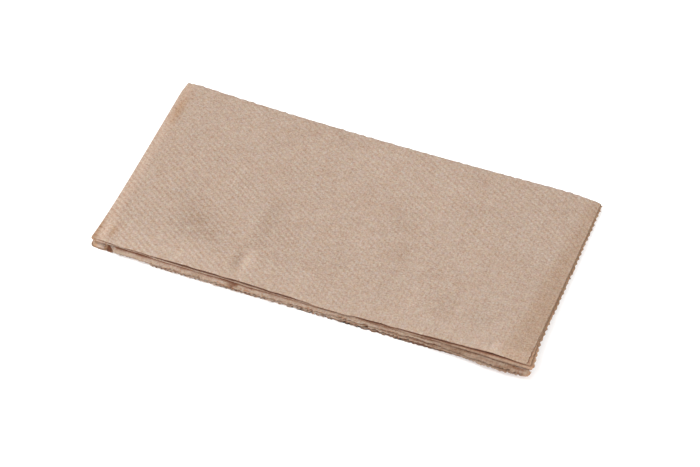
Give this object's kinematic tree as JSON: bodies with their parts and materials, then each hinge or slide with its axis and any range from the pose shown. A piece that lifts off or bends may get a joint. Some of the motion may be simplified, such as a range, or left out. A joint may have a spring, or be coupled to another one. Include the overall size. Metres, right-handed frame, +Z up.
{
  "type": "paper napkin",
  "caption": "Brown kraft paper napkin, a square tissue sheet folded flat into a rectangular packet, with rounded fold edges on one side and loose cut layers on the other.",
  "frame": {"origin": "middle of the folded packet's footprint, on the surface it lies on", "axes": "+X along the packet's long side, from the second fold to the toothed cut ends; +Y across it, from the open long side to the third fold; +Z up from the surface"},
  "size_m": [0.2038, 0.1044, 0.0078],
  "materials": {
    "kraft_tissue": "soft unbleached tissue, dry and matt, with a fine dot emboss"
  },
  "bodies": {
    "root": {"napkin": "kraft_tissue"}
  },
  "joints": []
}
